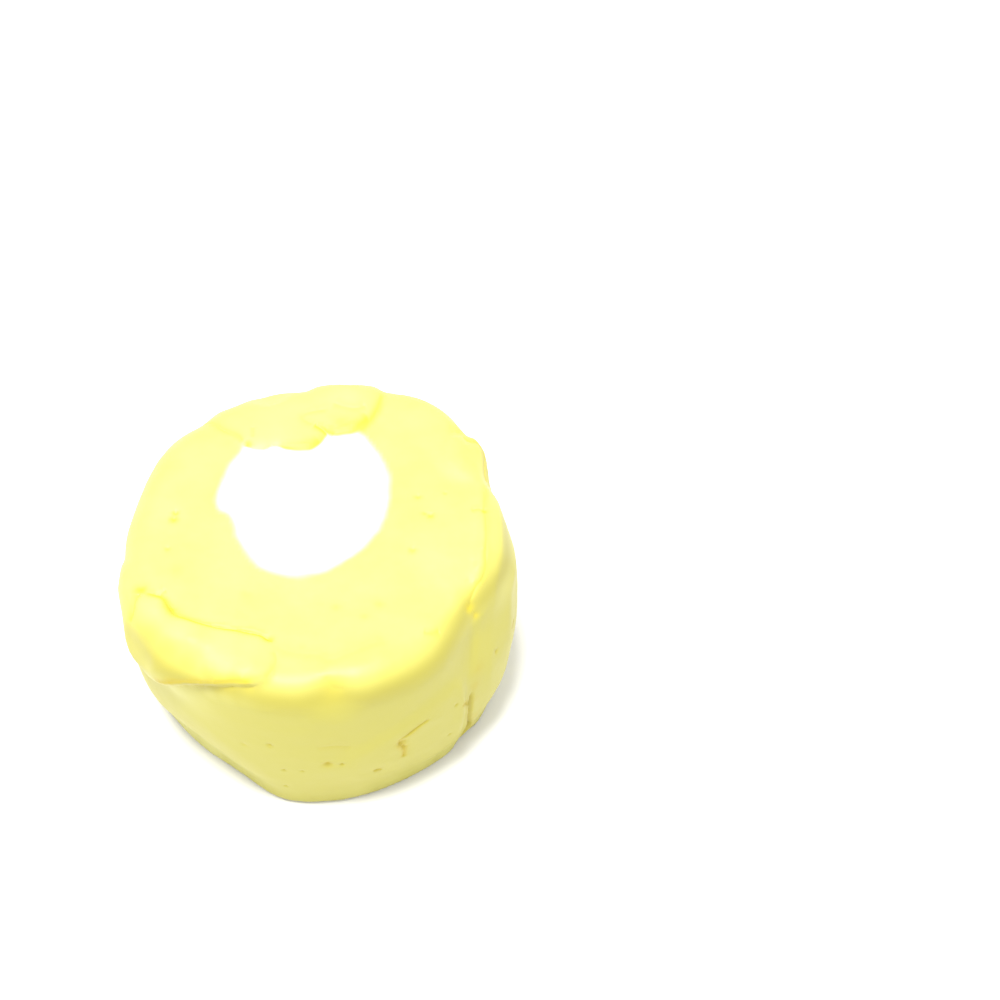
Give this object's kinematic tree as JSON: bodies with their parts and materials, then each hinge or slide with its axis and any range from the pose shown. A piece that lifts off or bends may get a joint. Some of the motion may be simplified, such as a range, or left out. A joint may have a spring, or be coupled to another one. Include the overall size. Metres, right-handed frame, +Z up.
{
  "type": "salt water taffy",
  "caption": "Thick cut slice of soft yellow pulled taffy with a white core running through it, its layers folded and pressed together.",
  "frame": {"origin": "on the surface that the slice rests on, under the middle of its box", "axes": "+Z up along the core, from the cut face it rests on to the upper cut face; -Y towards its front, where the blunt end of the lip lies at the left"},
  "size_m": [0.0282, 0.028, 0.0164],
  "materials": {
    "yellow_taffy": "opaque pulled sugar with a soft satin surface",
    "white_taffy": "opaque pulled sugar with a soft matte surface"
  },
  "bodies": {
    "root": {"taffy_body": "yellow_taffy", "taffy_core": "white_taffy"}
  },
  "joints": []
}
